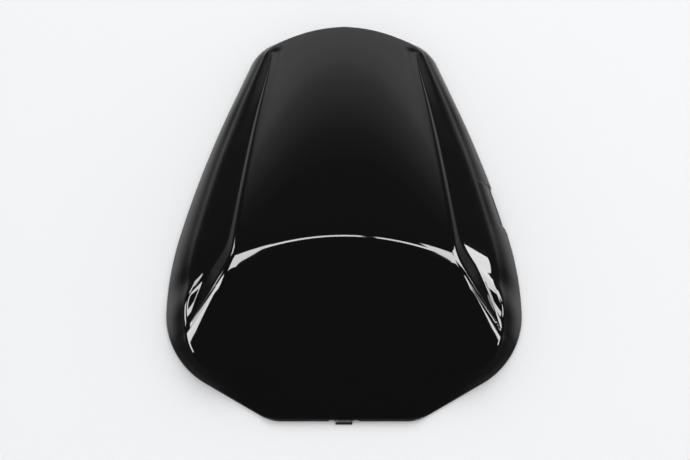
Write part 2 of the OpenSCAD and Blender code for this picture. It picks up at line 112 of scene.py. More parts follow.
class ArcPath:
    """A flat path of straights and arcs, each tangent to the last."""

    def __init__(self, pieces: list[tuple[float, float]], start: tuple[float, float, float]) -> None:
        """Works out where each piece starts.

        Args:
            pieces: length and radius of each piece in mm, radius 0 for a straight.
            start: x, y and heading in radians of the path's first point.
        """
        self.length = np.array([p[0] for p in pieces], float)
        self.curve = np.array([0.0 if p[1] == 0 else 1.0 / p[1] for p in pieces])
        self.begin = np.concatenate([[0.0], np.cumsum(self.length)])
        x, y, h = start
        state = [(x, y, h)]
        for length, k in zip(self.length, self.curve):
            if k == 0:
                x, y = x + length * math.cos(h), y + length * math.sin(h)
            else:
                h2 = h + length * k
                x, y = x + (math.sin(h2) - math.sin(h)) / k, y - (math.cos(h2) - math.cos(h)) / k
                h = h2
            state.append((x, y, h))
        self.state = np.array(state)

    def at(self, s: Array) -> Array:
        """Points of the path.

        On an arc of curvature k the heading grows as h + k*s, and the point is the integral of
        (cos h, sin h), which is (sin h - sin h0) / k and -(cos h - cos h0) / k.

        Args:
            s: distances along the path in mm.

        Returns:
            x, y and heading at each distance, as an array of three columns.
        """
        s = np.asarray(s, float)
        i = np.clip(np.searchsorted(self.begin, s, side="right") - 1, 0, len(self.length) - 1)
        run = s - self.begin[i]
        x0, y0, h0 = self.state[i].T
        k = self.curve[i]
        h = h0 + k * run
        safe = np.where(k == 0, 1.0, k)
        x = np.where(k == 0, x0 + run * np.cos(h0), x0 + (np.sin(h) - np.sin(h0)) / safe)
        y = np.where(k == 0, y0 + run * np.sin(h0), y0 - (np.cos(h) - np.cos(h0)) / safe)
        return np.stack([x, y, h], axis=-1)


class Side(Enum):
    """Which half of the shell: the left one has the notch in its lower edge."""

    LEFT = 1
    RIGHT = -1


@dataclass(frozen=True)
class Rounding:
    """How a corner is rounded: the most it takes of the side before and after, and its points."""

    before: float
    after: float
    steps: int


EDGE_ROUNDING = Rounding(0.6, 0.68, 6)
FOOT_ROUNDING = Rounding(0.26, 0.22, 5)
SHOULDER_ROUNDING = Rounding(0.72, 0.45, 9)
LIP_ROUNDING = Rounding(0.45, 0.45, 4)


@dataclass(frozen=True)
class CowlSizes:
    """Sizes of the moulding in mm, and turns and cuts in degrees, the same as the solid's."""

    width: float = 288.6
    length: float = 355.6
    crest_h: float = 72.0
    tail_h: float = 30.0
    wall: float = 3.0
    lip_half: float = 50.0
    lip_corner_r: float = 30.0
    front_cut: float = 31.0
    shoulder_r: float = 70.0
    side_r: float = 285.0
    side_turn: float = 13.9
    rear_side_r: float = 1000.0
    rear_side_turn: float = 7.5
    tail_corner_r: float = 30.0
    tail_corner_turn: float = 42.0
    crease_back: float = 30.5
    crease_h: float = 26.0
    crease_half: float = 92.0
    crease_r: float = 31.0
    crease_turn: float = 50.0
    crease_r2: float = 43.0
    crease_turn2: float = 35.0
    point_h: float = 28.0
    crest_back: float = 128.0
    crest_half: float = 88.5
    crest_drop: float = 8.0
    crest_sweep: float = 15.0
    lip_h: float = 8.0
    edge_h: float = 4.0
    step_h: float = 7.0
    step_w: float = 5.0
    shoulder_h: float = 35.0
    flank_w: float = 21.4
    tail_wall_w: float = 8.2
    flank_round: float = 9.0
    panel_round: float = 4.5
    tongue_half: float = 6.5
    tongue_out: float = 2.5
    tongue_t: float = 3.0
    relief_r: float = 3.0
    notch_h: float = 8.0
    notch_l: float = 46.0
    notch_back: float = 34.0


@dataclass
class CowlForm:
    """The shell's form as functions of place along the outline, along the bike and across it.

    Rows v run from -1 at the front points over 0 at the crest to 1 at the tail's corners. The
    crest's rounding takes in the rows from before_ to after_, at its corners and in its middle.
    border, edge_off and foot_off are how far the patch, the panel's edge and the step's foot lie
    from the shoulder at both ends, in mm. inset_w and inset_h are how far inside and above the
    panel's edge the patch ends at the crest.
    """

    size: CowlSizes = field(default_factory=CowlSizes)
    before_crest: float = 0.2
    after_crest: float = 0.055
    before_middle: float = 0.06
    after_middle: float = 0.022
    border: float = 11.0
    edge_off: float = 6.0
    foot_off: float = 4.0
    inset_w: float = 4.0
    inset_h: float = 1.0
    swell_h: float = 1.3
    crisp_round: float = 1.2

    def __post_init__(self) -> None:
        """Builds the lower edge, the crease, the shoulder and the guide points from the sizes."""
        self.make_edge()
        self.make_crease()
        self.make_keys()
        self.make_guides()

    def make_edge(self) -> None:
        """The lower edge: straights and arcs from the middle of the front to that of the tail.

        The slanted straight is what the corner arcs leave of the half width. The last straight
        and the tail arc's radius are those that end the path level, at x = 0 and the full length:
        the two closing lines are solved for them.
        """
        z = self.size
        hw, hl, rad = z.width / 2, z.length / 2, math.radians
        cut = rad(z.front_cut)
        corners = z.lip_corner_r * math.sin(cut) + z.shoulder_r * (1 - math.sin(cut))
        cut_l = (hw - z.lip_half - corners) / math.cos(cut)
        head = [
            (z.lip_half, 0.0),
            (z.lip_corner_r * cut, z.lip_corner_r),
            (cut_l, 0.0),
            (z.shoulder_r * (math.pi / 2 - cut), z.shoulder_r),
            (z.side_r * rad(z.side_turn), z.side_r),
            (z.rear_side_r * rad(z.rear_side_turn), z.rear_side_r),
        ]
        start = (0.0, -hl, 0.0)
        x6, y6, h6 = ArcPath(head, start).state[-1]
        h8 = h6 + rad(z.tail_corner_turn)
        half_left = (math.pi - h8) / 2
        dx = z.tail_corner_r * (math.sin(h8) - math.sin(h6))
        dy = -z.tail_corner_r * (math.cos(h8) - math.cos(h6))
        rear_l = (hl - y6 - dy - (x6 + dx) * math.tan(half_left)) / (
            math.sin(h6) + math.cos(h6) * math.tan(half_left)
        )
        tail_r = (x6 + rear_l * math.cos(h6) + dx) / math.sin(math.pi - h8)
        self.edge = ArcPath(
            head
            + [
                (rear_l, 0.0),
                (z.tail_corner_r * rad(z.tail_corner_turn), z.tail_corner_r),
                (tail_r * (math.pi - h8), tail_r),
            ],
            start,
        )
        begin, length = self.edge.begin, self.edge.length
        self.s_corner, self.s_end = begin[7], begin[9]
        self.s_crest = begin[4] + 0.5 * length[4]
        self.s_tail = self.s_corner + 0.35 * length[7]
        self.notch_s = self.s_crest + z.notch_back

    def make_crease(self) -> None:
        """The front crease, and the place on the edge's shoulder arc that faces its end."""
        z = self.size
        rad, cut = math.radians, math.radians(z.front_cut)
        self.crease = ArcPath(
            [
                (z.crease_half, 0.0),
                (z.crease_r * rad(z.crease_turn), z.crease_r),
                (z.crease_r2 * rad(z.crease_turn2), z.crease_r2),
            ],
            (0.0, -z.length / 2 + z.crease_back, 0.0),
        )
        arc = self.edge.state[3]
        mid = (arc[0] - z.shoulder_r * math.sin(cut), arc[1] + z.shoulder_r * math.cos(cut))
        end = self.crease.state[-1]
        turn = math.atan2(end[0] - mid[0], mid[1] - end[1]) - cut
        self.s_point = self.edge.begin[3] + z.shoulder_r * turn
        self.crease_keys = [
            (0.0, z.crease_h), (0.3, z.crease_h), (0.6, z.crease_h - 0.4), (0.75, z.crease_h - 0.4),
            (0.87, 0.7 * z.crease_h + 0.3 * z.point_h), (1.0, z.point_h),
        ]
        self.d_point = self.crease_at(np.array([1.0]))[0]

    def make_keys(self) -> None:
        """Width and height of the flank, as pairs of place on the lower edge and value in mm."""
        z = self.size
        e_point = self.edge.at(np.array([self.s_point]))[0]
        point_w = float(np.hypot(*(e_point[:2] - self.d_point[:2])))
        s_p, s_c, s_corner, s_end = self.s_point, self.s_crest, self.s_corner, self.s_end
        self.flank_keys = [
            (s_p, point_w), (s_p + 20, point_w + (z.flank_w - point_w) * 0.55), (s_p + 45, z.flank_w - 0.8),
            (s_c, z.flank_w), (s_c + 35, z.flank_w), (s_c + 75, z.flank_w - 1.4),
            (s_c + 105, z.flank_w - 3.0), (s_c + 145, z.flank_w - 4.6), (s_c + 170, z.flank_w - 6.0),
            (s_corner, z.flank_w - 7.4), (self.s_tail, 13.4), (s_end - 60, 11.4),
            (s_end - 28, 9.4), (s_end, z.tail_wall_w),
        ]
        self.height_keys = [
            (s_p, z.point_h), (s_p + 12, z.point_h + 2.2), (s_p + 33, z.point_h + 7.5),
            (s_c - 15, z.shoulder_h - 2.0), (s_c, z.shoulder_h), (s_c + 20, z.shoulder_h + 0.7),
            (s_c + 40, z.shoulder_h), (s_c + 75, z.shoulder_h - 1.6), (s_c + 105, z.shoulder_h - 3.8),
            (s_c + 145, z.shoulder_h - 6.8), (s_corner - 10, z.tail_h - 3.0), (self.s_tail, z.tail_h - 3.0),
            (s_end - 60, z.tail_h - 2.3), (s_end - 30, z.tail_h - 0.6), (s_end, z.tail_h),
        ]

    def make_guides(self) -> None:
        """Points and directions at the crest's corners, the front points and the tail's corners."""
        z = self.size
        self.crest_y = -z.length / 2 + z.crest_back
        self.d_tail = self.shoulder_at(np.array([self.s_tail]))[0]
        back, high = self.crest_y - z.crest_sweep, z.crest_h - z.crest_drop
        top = np.array([z.crest_half - self.inset_w, back, high + self.inset_h])
        self.to_crest = unit(top - self.d_point)
        self.to_panel = self.tail_dir(np.array([1.0]))[0]
        self.a_crest = np.array([z.crest_half, back, high + 0.5])
        self.b_crest = self.a_crest + np.array([z.step_w - 0.5, 15.0, -z.step_h - 3.0])

    def crease_at(self, f: Array) -> Array:
        """The front crease at fractions f of its length: path in plan, smooth line in height."""
        p = self.crease.at(f * self.crease.begin[-1])
        return np.stack([p[:, 0], p[:, 1], ease(self.crease_keys, f)], axis=-1)

    def shoulder_at(self, s: Array) -> Array:
        """The flank's upper edge: the lower edge moved inwards by the flank's width and raised."""
        e, w = self.edge.at(s), ease(self.flank_keys, s)
        return np.stack(
            [e[:, 0] - w * np.sin(e[:, 2]), e[:, 1] + w * np.cos(e[:, 2]), ease(self.height_keys, s)], axis=-1
        )

    @staticmethod
    def tail_dir(x: Array) -> Array:
        """Direction from the tail's top edge onto the panel, turning inwards as x^3 of the half width."""
        return unit(mix(np.array([0.0, -1.0, 0.34]), np.array([-1.0, -0.1, 0.27]), (x**3)[:, None]))

    def s_of(self, v: Array) -> Array:
        """Place on the lower edge that belongs to row v: -1 at the point, 0 crest, 1 tail corner."""
        return np.where(v < 0, mix(self.s_point, self.s_crest, v + 1), mix(self.s_crest, self.s_tail, v))

    def row_of(self, s: float) -> float:
        """The row v that belongs to place s on the lower edge, behind the crest."""
        return (s - self.s_crest) / (self.s_tail - self.s_crest)

    def rounded(self, v: Array, line: Callable[[Array], Array]) -> Array:
        """A line along the bike with its corner at the crest rounded by a quadratic Bezier.

        Args:
            v: rows.
            line: gives the sharp line's points for rows.

        Returns:
            The rounded line's points.
        """
        lo, hi = -self.before_crest, self.after_crest
        q = np.clip((v + self.before_crest) / (hi - lo), 0, 1)
        sharp = line(v)
        q = q.reshape(q.shape + (1,) * (sharp.ndim - q.ndim))
        arc = bend(line(np.full_like(v, lo)), line(np.zeros_like(v)), line(np.full_like(v, hi)), q)
        inside = ((v > lo) & (v < hi)).reshape(q.shape)
        return np.where(inside, arc, sharp)

    def swell(self, v: Array) -> Array:
        """Height of the swelling below the crest's corners: h sin^2(2 pi d) at depth d = -v."""
        return self.swell_h * np.sin(2 * np.pi * np.clip(-v, 0, 0.5)) ** 2

    def panel_edge(self, v: Array) -> Array:
        """Edge of the top panel.

        From the point to the crest a straight line, raised by the swelling. Behind the crest x
        and y run straight, x with a bow of sin(pi v), and the height falls as v^1.6.

        Args:
            v: rows.

        Returns:
            A point for each row.
        """
        a0 = self.d_point + self.edge_off * self.to_crest
        a1 = self.d_tail + self.edge_off * self.to_panel
        front = mix(a0, self.a_crest, (v + 1)[:, None])
        front[:, 2] += self.swell(v)
        t = np.clip(v, 0, 1)
        rear = np.stack(
            [
                mix(self.a_crest[0], a1[0], t) + np.sin(np.pi * t),
                mix(self.a_crest[1], a1[1], t),
                mix(self.a_crest[2], a1[2], t**EDGE_FALL),
            ],
            axis=-1,
        )
        return np.where((v < 0)[:, None], front, rear)

    def step_foot(self, v: Array) -> Array:
        """Foot of the step: beside and below the panel's edge, fading out at the tail.

        Before the crest a straight line with a bow of sin(pi v). Behind it the panel's edge,
        moved by the step's width and height times a fading share, and led into the tail's line
        over the last seventh.

        Args:
            v: rows.

        Returns:
            A point for each row.
        """
        z = self.size
        b0 = self.d_point + self.foot_off * self.to_crest
        b1 = self.d_tail + self.foot_off * self.to_panel
        bow = np.array([3.5, 4.5, -3.5]) * np.sin(np.pi * (v + 1))[:, None]
        front = mix(b0, self.b_crest, (v + 1)[:, None]) + bow
        t = np.clip(v, 0, 1)
        k = ease([(0, 1), (0.12, 0.95), (0.5, 0.9), (0.75, 0.62), (0.9, 0.35), (1, 0)], t)
        q = (1 - np.clip(t / 0.45, 0, 1)) ** 2
        off = np.stack([z.step_w * k - 0.5, 15 * q, -z.step_h * k - 3 * q], axis=-1)
        rear = mix(b1, self.panel_edge(t) + off, np.clip((1 - t) * 7, 0, 1)[:, None])
        return np.where((v < 0)[:, None], front, rear)

    def edge_in(self, v: Array) -> Array:
        """Border of the top panel's patch, a little inside the panel's edge.

        Before the crest a straight line. Behind it the panel's edge, moved by the inset, which
        goes over into the tail's direction as v^4.

        Args:
            v: rows.

        Returns:
            A point for each row.
        """
        inset = np.array([-self.inset_w, 0.0, self.inset_h])
        front = mix(self.d_point + self.border * self.to_crest, self.a_crest + inset, (v + 1)[:, None])
        t = np.clip(v, 0, 1)
        last = (self.border - self.edge_off) * self.to_panel
        rear = self.panel_edge(t) + mix(inset, last, (t**4)[:, None])
        return np.where((v < 0)[:, None], front, rear)


@dataclass(frozen=True)
class Seam:
    """The line where the band's first points and the border of the patch meet.

    Section 0 of the band is in the middle of the front and section tail in that of the tail, with
    the left half between them. The patch has columns -cols to cols and rows 0 to rows.
    """

    sections: int
    tail: int
    cols: int
    rows: int

    def beside(self, grid: Array) -> Array:
        """The patch's points next to each of the band's first points.

        Args:
            grid: points of the patch, rows by columns by 3.

        Returns:
            An array of sections by 3.
        """
        i, j = np.arange(-self.cols, self.cols + 1), np.arange(1, self.rows)
        within = np.clip(i, 1 - self.cols, self.cols - 1) + self.cols
        near = np.empty((self.sections, 3))
        near[i % self.sections] = grid[1, within]
        near[(self.tail - i) % self.sections] = grid[self.rows - 1, within]
        near[self.cols + j] = grid[j, 2 * self.cols - 1]
        near[self.sections - self.cols - j] = grid[j, 1]
        return near

    def numbers(self, points: int, first: int) -> tuple[Array, Array, int]:
        """Vertex numbers of a band and its patch, which share the vertices of the seam.

        Args:
            points: points in each section of the band.
            first: number of the first vertex.

        Returns:
            Numbers of the band, numbers of the patch, and the next free number.
        """
        i, j = np.arange(-self.cols, self.cols + 1), np.arange(1, self.rows)
        core = (self.rows - 1, 2 * self.cols - 1)
        band = first + np.arange(self.sections * points).reshape(self.sections, points)
        free, count = first + band.size, core[0] * core[1]
        body = np.empty((self.rows + 1, 2 * self.cols + 1), int)
        body[1:-1, 1:-1] = free + np.arange(count).reshape(core)
        body[0, i + self.cols] = band[i % self.sections, 0]
        body[self.rows, i + self.cols] = band[(self.tail - i) % self.sections, 0]
        body[j, 2 * self.cols] = band[self.cols + j, 0]
        body[j, 0] = band[self.sections - self.cols - j, 0]
        return band, body, free + count


def grid_quads(numbers: Array, closed: bool) -> Array:
    """Quads of a grid of vertex numbers.

    Args:
        numbers: the vertices' numbers, rows by columns.
        closed: whether the last row joins the first.

    Returns:
        Four vertex numbers for each quad.
    """
    following = np.roll(numbers, -1, axis=0) if closed else numbers[1:]
    row = numbers if closed else numbers[:-1]
    return np.stack([row[:, :-1], row[:, 1:], following[:, 1:], following[:, :-1]], axis=-1).reshape(-1, 4)


@dataclass
class CowlShell:
    """The moulded shell: skin, inner face, rim, notch and reliefs beside the tongue.

    Sizes in mm: rounding of the shoulder at the front, the points and the tail, rounding of the
    step's foot and the lip, the flank's bulge and how far it leans up, the lip that is left above
    the notch, the chamfer of the rim, and a first guess at the panel's half width. No other row
    comes nearer than row_gap to one at the notch's ends.
    """

    form: CowlForm = field(default_factory=CowlForm)
    across: int = 46
    front_rows: int = 24
    crest_rows: int = 15
    rear_rows: int = 59
    front_round: float = 6.0
    point_round: float = 3.0
    tail_round: float = 5.0
    foot_round: float = 3.0
    lip_round: float = 2.0
    bulge: float = 3.6
    bulge_lean: float = 0.35
    stub: float = 0.6
    rim_cut: float = 0.5
    guess_half: float = 80.0
    row_gap: float = 0.0025
    ease_rounds: int = 12
    eased_points: int = 10

    def __post_init__(self) -> None:
        """Works out the borders of the panel's patch at the front and the tail, and the patch."""
        f = self.form
        z = f.size
        self.front_s = self.stations()
        self.v = self.rows()
        self.share = self.front_s / f.s_point
        self.crease = f.crease_at(self.share)
        x = self.crease[:, 0] / f.d_point[0]
        top = np.stack(
            [
                (z.crest_half - f.inset_w) * x,
                f.crest_y - z.crest_sweep * x**2,
                z.crest_h - (z.crest_drop - f.inset_h) * x**ROW_BOW,
            ],
            axis=-1,
        )
        self.front_in = self.crease + f.border * unit(top - self.crease)
        self.tail_s = f.s_end - (f.s_end - f.s_tail) * self.share
        self.tail_d = f.shoulder_at(self.tail_s)
        self.tail_to = f.tail_dir(self.tail_d[:, 0] / self.tail_d[-1, 0])
        self.tail_in = self.tail_d + f.border * self.tail_to
        self.front_x = self.front_in[:, 0] / self.front_in[-1, 0]
        self.tail_x = self.tail_in[:, 0] / self.tail_in[-1, 0]
        self.tail_fit = self.tail_in - self.panel_rows(np.ones(1))[0]
        half = self.crest_round()
        mirror = half[:, :0:-1] * np.array([-1.0, 1.0, 1.0])
        self.patch = np.concatenate([mirror, half], axis=1)

    def stations(self) -> Array:
        """Places on the front half edge, closer together at the reliefs beside the tongue.

        Returns:
            Distances along the lower edge in mm.
        """
        z = self.form.size
        middle = z.tongue_half + z.relief_r
        relief = middle - z.relief_r * np.cos(np.linspace(0, np.pi, 13))
        rest = np.linspace(0, self.form.s_point, self.across)
        rest = rest[(np.abs(rest - middle) > z.relief_r + 1.0)]
        return np.sort(np.concatenate([rest, relief]))

    def rows(self) -> Array:
        """Rows along the bike, close together over the crest and at the notch's two ends.

        Returns:
            Row places v from -1 to 1.
        """
        f = self.form
        marks = (0.0, f.size.notch_h, f.size.notch_l - 0.2, f.size.notch_l + 0.2)
        ends = np.array([f.row_of(f.notch_s + mark) for mark in marks])
        front = np.linspace(-1, -f.before_crest, self.front_rows, endpoint=False)
        crest = np.linspace(-f.before_crest, f.after_crest, self.crest_rows, endpoint=False)
        rear = np.linspace(f.after_crest, 1, self.rear_rows)
        rest = np.concatenate([front, crest, rear])
        far = np.min(np.abs(rest[:, None] - ends[None, :]), axis=1) > self.row_gap
        return np.sort(np.concatenate([rest[far], ends]))

    def panel_rows(self, v: Array) -> Array:
        """Rows of the panel behind the crest, before the last one is fitted to the tail.

        At fraction X of the half width, x = X * border's x, y = middle + (border - middle) * X^2
        and z = middle + (border - middle) * X^2.2. The middle line falls as v^1.7.

        Args:
            v: rows from 0 to 1.

        Returns:
            Rows by columns by 3.
        """
        f = self.form
        e = f.edge_in(v)[:, None, :]
        w = v[:, None]
        part = mix(self.front_x[None, :], self.tail_x[None, :], w)
        y = mix(f.crest_y, self.tail_in[0, 1], w)
        z = mix(f.size.crest_h, self.tail_in[0, 2], w**MIDDLE_FALL)
        return np.stack(
            [e[..., 0] * part, y + (e[..., 1] - y) * part**2, z + (e[..., 2] - z) * np.abs(part) ** ROW_BOW],
            axis=-1,
        )

    def skin(self, v: Array) -> Array:
        """Rows of the whole patch with its sharp crest.

        Before the crest straight lines from the crease's border, raised by the swelling times
        X^9. Behind it the panel's rows, with v^3 of what the last one lacks to meet the tail.

        Args:
            v: rows from -1 to 1.

        Returns:
            Rows by columns by 3.
        """
        t = np.clip(v, 0, 1)
        w = v[:, None, None]
        front = mix(self.front_in[None], self.panel_rows(np.zeros(1)), w + 1)
        front[..., 2] += self.form.swell(v)[:, None] * self.front_x[None, :] ** 9
        return np.where(w < 0, front, self.panel_rows(t) + t[:, None, None] ** 3 * self.tail_fit[None])

    def crest_round(self) -> Array:
        """The patch with its crest rounded: tight in the middle, wide at the crest's corners.

        In each column a quadratic Bezier runs over the crest. Its ends go from those of the
        middle to those of the corners as X^4 before the crest and as X^2 behind it.

        Returns:
            Rows by columns by 3.
        """
        f, part = self.form, self.front_x
        n = np.arange(len(part))
        lo = -mix(f.before_middle, f.before_crest, part**4)
        hi = mix(f.after_middle, f.after_crest, part**2)
        begin, peak, end = (self.skin(at)[n, n][None] for at in (lo, np.zeros_like(part), hi))
        v = self.v[:, None]
        q = np.clip((v - lo) / (hi - lo), 0, 1)[..., None]
        inside = ((v > lo) & (v < hi))[..., None]
        return np.where(inside, bend(begin, peak, end, q), self.skin(self.v))

    def panel_height(self, x: Array, y: Array) -> Array:
        """Height of the top panel over places in plan.

        Eight rounds of a fixed-point search for the row v and the fraction X whose plan place is
        x, y; then z = middle + (border - middle) * X^2.2.

        Args:
            x: places across the bike in mm.
            y: places along the bike in mm.

        Returns:
            The outer skin's height at each place.
        """
        form = self.form
        z = form.size
        run = z.length / 2 - z.tail_wall_w - form.crest_y
        v = np.maximum(0.0, (y - form.crest_y) / run)
        part = np.abs(x) / self.guess_half
        for _ in range(8):
            e = form.edge_in(v)
            middle = mix(form.crest_y, self.tail_in[0, 1], v)
            step = v + (y - middle - (e[:, 1] - middle) * part**2) / run
            part = np.minimum(1.0, np.abs(x) / e[:, 0])
            v = np.maximum(0.0, step)
        e = form.edge_in(v)
        middle = mix(z.crest_h, self.tail_in[0, 2], v**MIDDLE_FALL)
        return middle + (e[:, 2] - middle) * part**ROW_BOW

    @staticmethod
    def corner(a: Array, b: Array, c: Array, size: Array, how: Rounding) -> Array:
        """A rounded corner at b: a quadratic Bezier between points at the given distance from it.

        Args:
            a: points before the corner.
            b: the corners.
            c: points after the corner.
            size: distance cut back in mm.
            how: limits to that distance, and points on the curve.

        Returns:
            An array of corners by points by 3.
        """
        la = np.minimum(size, how.before * np.linalg.norm(a - b, axis=-1))[:, None]
        lc = np.minimum(size, how.after * np.linalg.norm(c - b, axis=-1))[:, None]
        p, r = b + la * unit(a - b), b + lc * unit(c - b)
        q = np.linspace(0, 1, how.steps)[None, :, None]
        return bend(p[:, None], b[:, None], r[:, None], q)

    def lower_edge(self, s: Array, shoulder: Array, side: Side) -> tuple[Array, Array, Array]:
        """The lip's top and bottom, lifted in the left side's notch and beside the tongue.

        The notch rises at 45 degrees from its front end. Where it is higher than the lip, both
        points climb the flank's straight line instead. The relief is a half circle.

        Args:
            s: places on the lower edge.
            shoulder: the shoulder's points.
            side: which half.

        Returns:
            Points on top of the lip, points on its bottom, and the flank's direction of bulge.
        """
        z = self.form.size
        e = self.form.edge.at(s)
        lift = np.zeros_like(s)
        if side is Side.LEFT:
            ramp = np.clip((s - self.form.notch_s) / z.notch_h, 0, 1)
            lift = z.notch_h * ramp * (s < self.form.notch_s + z.notch_l)
        relief = np.sqrt(np.clip(z.relief_r**2 - (s - z.tongue_half - z.relief_r) ** 2, 0, None))
        lip = mix(z.lip_h, z.edge_h, soft((s - z.lip_half - 6) / 12))
        foot = np.stack([e[:, 0], e[:, 1], lip], axis=-1)
        low = np.stack([e[:, 0], e[:, 1], np.maximum(lift, relief)], axis=-1)
        up = (shoulder - foot) / np.maximum(1.0, shoulder[:, 2] - foot[:, 2])[:, None]
        cut = (lift > lip - self.stub)[:, None]
        top = np.where(cut, foot + up * (lift + self.stub - lip)[:, None], foot)
        base = np.where(cut, foot + up * (lift - lip)[:, None], low)
        out = np.stack([np.sin(e[:, 2]), -np.cos(e[:, 2]), np.full_like(s, self.bulge_lean)], axis=-1)
        return top, base, out

    def rungs(
        self, lines: tuple[Array, Array, Array, Array], s: Array, soft_a: Array, soft_d: Array, side: Side
    ) -> Array:
        """Section of the band from the panel's border down to the lower edge.

        A polyline through the panel's edge, the step's foot, the shoulder, the flank and the
        upright lip, with each corner rounded. The flank bulges outwards by b t (1 - t).

        Args:
            lines: points on the patch's border, the panel's edge, the step's foot, the shoulder.
            s: places on the lower edge.
            soft_a: size of the panel edge's rounding.
            soft_d: size of the shoulder's rounding.
            side: which half.

        Returns:
            An array of sections by points by 3.
        """
        pin, pa, pb, pd = lines
        top, base, out = self.lower_edge(s, pd, side)
        a = self.corner(pin, pa, pb, soft_a, EDGE_ROUNDING)
        b = self.corner(pa, pb, pd, np.full_like(s, self.foot_round), FOOT_ROUNDING)
        d = self.corner(pb, pd, top, soft_d, SHOULDER_ROUNDING)
        g = self.corner(d[:, -1], top, base, np.full_like(s, self.lip_round), LIP_ROUNDING)
        t = np.linspace(0, 1, 7)[1:-1][None, :, None]
        flank = mix(d[:, -1:], g[:, :1], t) + self.bulge * t * (1 - t) * out[:, None]
        return np.concatenate([pin[:, None], a[:, 1:], b, d, flank, g, base[:, None]], axis=1)

    def ends(self, border: Array, shoulder: Array, to: Array) -> tuple[Array, Array, Array, Array]:
        """The four lines of a section at the front or the tail, where they run side by side.

        Args:
            border: points on the patch's border.
            shoulder: the shoulder's points.
            to: direction from the shoulder to the border.

        Returns:
            Border, panel's edge, step's foot and shoulder.
        """
        f = self.form
        return border, shoulder + f.edge_off * to, shoulder + f.foot_off * to, shoulder

    def half_ring(self, side: Side) -> Array:
        """Sections of one half of the band, from the middle of the front to that of the tail.

        Args:
            side: which half.

        Returns:
            An array of sections by points by 3.
        """
        f, v = self.form, self.v
        z, near_point = f.size, self.share**4
        front = self.rungs(
            self.ends(self.front_in, self.crease, unit(self.front_in - self.crease)), self.front_s,
            mix(z.panel_round, f.crisp_round, near_point),
            mix(self.front_round, self.point_round, near_point), side,
        )
        s = f.s_of(v)
        lines = self.patch[:, -1], f.rounded(v, f.panel_edge), f.rounded(v, f.step_foot), f.shoulder_at(s)
        shoulder_round = mix(
            self.point_round, z.flank_round, soft((v + 1) / 1.3)
        ) * mix(1.0, 0.6, soft(v * 3 - 2))
        sides = self.rungs(
            lines, s, mix(f.crisp_round, z.panel_round, soft((v + 0.62) / 0.2)), shoulder_round, side
        )
        tail = self.rungs(
            self.ends(self.tail_in, self.tail_d, self.tail_to), self.tail_s,
            np.full_like(self.tail_s, z.panel_round), np.full_like(self.tail_s, self.tail_round), side,
        )
        half = np.concatenate([front, sides[1:-1], tail[::-1]], axis=0)
        return half * np.array([float(side.value), 1.0, 1.0])

    def inner_face(self, ring: Array, seam: Seam) -> tuple[Array, Array, Array]:
        """The inner face, one wall inside the skin.

        Each point moves against the cross product of the differences to its neighbours, and
        level at the lower edge. Then rounds of (before + 2 own + after) / 4 ease the band's first
        points, which would fold inside the tight corner of the panel's edge.

        Args:
            ring: the skin's band.
            seam: where the band meets the patch.

        Returns:
            The inner band, the inner patch, and the direction outwards at the lower edge.
        """
        wall, n = self.form.size.wall, self.eased_points
        along = np.roll(ring, -1, axis=0) - np.roll(ring, 1, axis=0)
        before = np.concatenate([seam.beside(self.patch)[:, None], ring[:, :-1]], axis=1)
        after = np.concatenate([ring[:, 1:], ring[:, -1:]], axis=1)
        out = unit(np.cross(unit(after - ring) + unit(ring - before), along))
        out[:, -1] = unit(out[:, -1] * np.array([1.0, 1.0, 0.0]))
        up = unit(np.cross(np.gradient(self.patch, axis=1), np.gradient(self.patch, axis=0)))
        band, patch = ring - wall * out, self.patch - wall * up
        beside = seam.beside(patch)[:, None]
        for _ in range(self.ease_rounds):
            line = np.concatenate([beside, band], axis=1)
            band[:, :n] = (line[:, :n] + 2 * line[:, 1 : n + 1] + line[:, 2 : n + 2]) / 4
        return band, patch, out[:, -1]

    def assemble(self) -> tuple[Array, Array, Array]:
        """The closed shell: skin, inner face and the chamfered rim between them.

        Returns:
            Vertices, quads, and a mark for the inner face's quads.
        """
        left, right = self.half_ring(Side.LEFT), self.half_ring(Side.RIGHT)
        ring = np.concatenate([left, right[-2:0:-1]], axis=0)
        seam = Seam(len(ring), len(left) - 1, len(self.front_s) - 1, len(self.v) - 1)
        inner, inner_patch, out = self.inner_face(ring, seam)
        rim_up = ring[:, -1] + np.array([0.0, 0.0, self.rim_cut])
        rim_in = ring[:, -1] - self.rim_cut * out
        outer = np.concatenate([ring[:, :-1], rim_up[:, None], rim_in[:, None]], axis=1)
        band_o, body_o, first = seam.numbers(outer.shape[1], 0)
        band_i, body_i, _ = seam.numbers(inner.shape[1], first)
        points = (outer, self.patch[1:-1, 1:-1], inner, inner_patch[1:-1, 1:-1])
        verts = np.concatenate([p.reshape(-1, 3) for p in points])
        rim = np.stack([band_o[:, -1], band_i[:, -1]], axis=-1)
        faces_o = np.concatenate([grid_quads(body_o, False), grid_quads(band_o, True), grid_quads(rim, True)])
        faces_i = np.concatenate([grid_quads(body_i, False), grid_quads(band_i, True)])[:, ::-1]
        faces = np.concatenate([faces_o, faces_i])
        shift = np.array([0.0, self.form.size.tongue_out / 2, 0.0])
        return verts + shift, faces, np.arange(len(faces)) >= len(faces_o)


